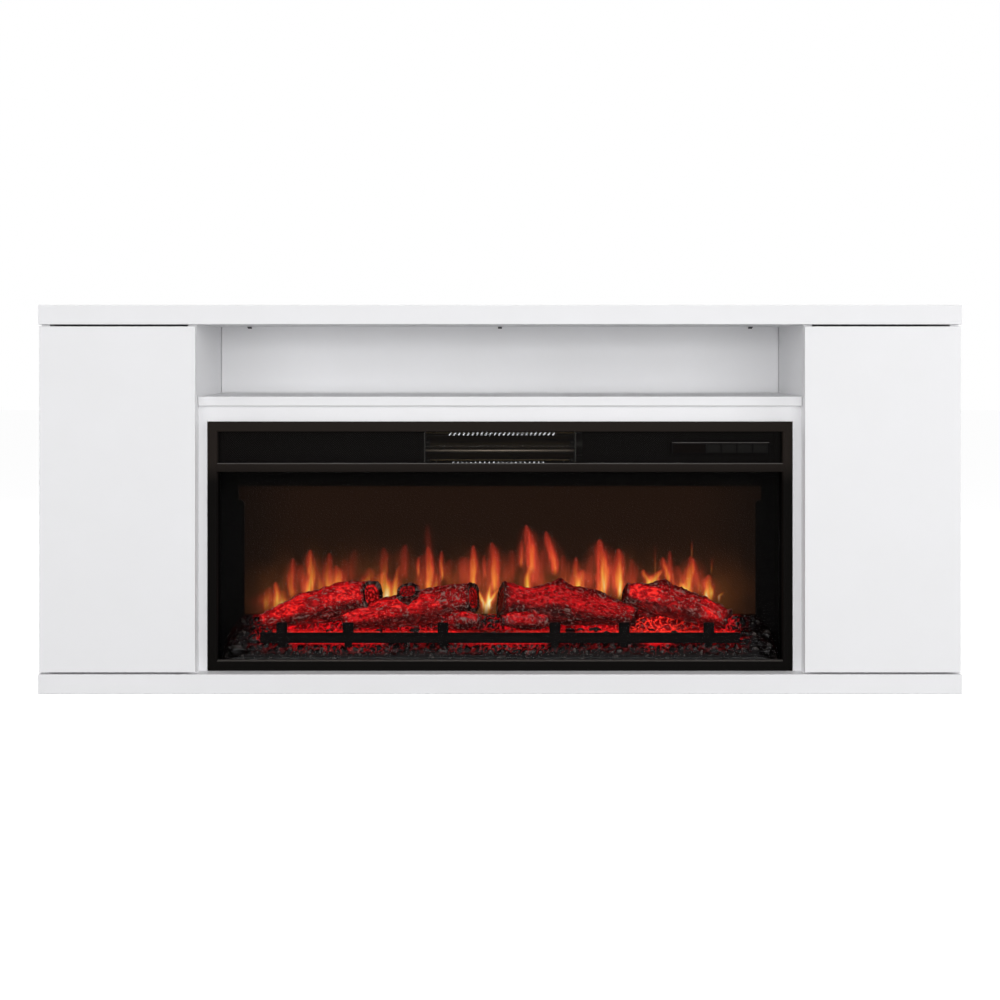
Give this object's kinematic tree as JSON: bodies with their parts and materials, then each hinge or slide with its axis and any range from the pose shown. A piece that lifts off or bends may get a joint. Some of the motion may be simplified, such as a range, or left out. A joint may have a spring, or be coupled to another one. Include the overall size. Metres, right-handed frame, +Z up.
{
  "type": "fireplace tv stand",
  "caption": "Wide white lacquered TV stand with an electric log-fire insert in the middle bay, an open niche above it and push-to-open doors on both sides.",
  "frame": {"origin": "on the floor, under the middle of the stand's footprint", "axes": "+X to the right as seen from the front, +Y from front to back, +Z up"},
  "size_m": [1.7, 0.4, 0.716],
  "materials": {
    "white_lacquer": "smooth white lacquer on board, semi-gloss",
    "zinc_plated_steel": "bright zinc plating",
    "dark_bracket": "dark satin paint",
    "grey_plastic": "moulded, light grey",
    "black_frame": "black satin powder coat",
    "black_mesh": "black powder coat on expanded sheet",
    "fire_glass": "clear tempered glass",
    "black_casing": "matt black paint",
    "screen_film": "translucent dark brown flame screen",
    "ember_resin": "charred moulded resin",
    "log_resin": "moulded resin bark",
    "grate_iron": "matt black",
    "lamp_strip": "white lamp strip",
    "bright_aluminium": "bright sheet",
    "motor_steel": "zinc plated",
    "gold_reflector": "polished gold-toned reflector",
    "quartz": "clear quartz",
    "black_gloss_plastic": "moulded, glossy black",
    "smoked_window": "smoked display window",
    "dark_keys": "satin dark grey keys",
    "circuit_board": "green circuit board"
  },
  "bodies": {
    "cabinet": {"top_board": "white_lacquer", "base_board": "white_lacquer", "left_side_panel": "white_lacquer", "right_side_panel": "white_lacquer", "left_divider": "white_lacquer", "right_divider": "white_lacquer", "left_cheek": "white_lacquer", "right_cheek": "white_lacquer", "niche_shelf": "white_lacquer", "shelf_rail": "white_lacquer", "niche_back_panel": "white_lacquer", "side_back_panels": "white_lacquer", "left_inner_shelf": "white_lacquer", "right_inner_shelf": "white_lacquer", "shelf_pins": "zinc_plated_steel", "hinge_arms": "zinc_plated_steel", "hinge_plates": "zinc_plated_steel", "top_brackets": "dark_bracket", "latch_housings": "grey_plastic", "insert_frame": "black_frame", "mesh_panel": "black_mesh", "glass_panel": "fire_glass", "firebox_shell": "black_casing", "heater_deck": "black_casing", "screen_flanges": "black_casing", "flame_screen": "screen_film", "ember_bed": "ember_resin", "ember_coals": "ember_resin", "log_1": "log_resin", "log_2": "log_resin", "log_3": "log_resin", "log_4": "log_resin", "grate": "grate_iron", "led_strips": "lamp_strip", "rotor_motor": "motor_steel", "rotor_bearing": "motor_steel", "blower_housing": "motor_steel", "blower_motor": "motor_steel", "tube_holders": "motor_steel", "heater_reflector": "gold_reflector", "quartz_tube": "quartz", "control_bezel": "black_gloss_plastic", "power_inlet": "black_gloss_plastic", "display_window": "smoked_window", "control_board": "circuit_board"},
    "left_door": {"left_door": "white_lacquer", "left_hinge_cups": "zinc_plated_steel"},
    "right_door": {"right_door": "white_lacquer", "right_hinge_cups": "zinc_plated_steel"},
    "left_plunger": {"left_latch_plunger": "grey_plastic"},
    "right_plunger": {"right_latch_plunger": "grey_plastic"},
    "key_1": {"button_1": "dark_keys"},
    "key_2": {"button_2": "dark_keys"},
    "key_3": {"button_3": "dark_keys"},
    "key_4": {"button_4": "dark_keys"},
    "flame_rotor": {"flame_rotor": "bright_aluminium"},
    "blower_wheel": {"blower_wheel": "bright_aluminium"}
  },
  "joints": [
    {"name": "left_door_hinge", "type": "hinge", "parent": "cabinet", "child": "left_door", "pos_m": [-0.8405, -0.187, 0.358], "axis": [0, 0, -1], "range_deg": [0, 95]},
    {"name": "right_door_hinge", "type": "hinge", "parent": "cabinet", "child": "right_door", "pos_m": [0.8405, -0.187, 0.358], "axis": [0, 0, 1], "range_deg": [0, 95]},
    {"name": "left_latch_push", "type": "slide", "parent": "cabinet", "child": "left_plunger", "axis": [0, 1, 0], "range_m": [0, 0.003], "stiffness_N_per_m": 900},
    {"name": "right_latch_push", "type": "slide", "parent": "cabinet", "child": "right_plunger", "axis": [0, 1, 0], "range_m": [0, 0.003], "stiffness_N_per_m": 900},
    {"name": "key_1_press", "type": "slide", "parent": "cabinet", "child": "key_1", "axis": [0, 1, 0], "range_m": [0, 0.001], "stiffness_N_per_m": 800},
    {"name": "key_2_press", "type": "slide", "parent": "cabinet", "child": "key_2", "axis": [0, 1, 0], "range_m": [0, 0.001], "stiffness_N_per_m": 800},
    {"name": "key_3_press", "type": "slide", "parent": "cabinet", "child": "key_3", "axis": [0, 1, 0], "range_m": [0, 0.001], "stiffness_N_per_m": 800},
    {"name": "key_4_press", "type": "slide", "parent": "cabinet", "child": "key_4", "axis": [0, 1, 0], "range_m": [0, 0.001], "stiffness_N_per_m": 800},
    {"name": "flame_rotor_spin", "type": "hinge", "parent": "cabinet", "child": "flame_rotor", "pos_m": [0, 0.02675, 0.0775], "axis": [1, 0, 0], "continuous": true},
    {"name": "blower_spin", "type": "hinge", "parent": "cabinet", "child": "blower_wheel", "pos_m": [0, 0.006, 0.4515], "axis": [1, 0, 0], "continuous": true}
  ]
}
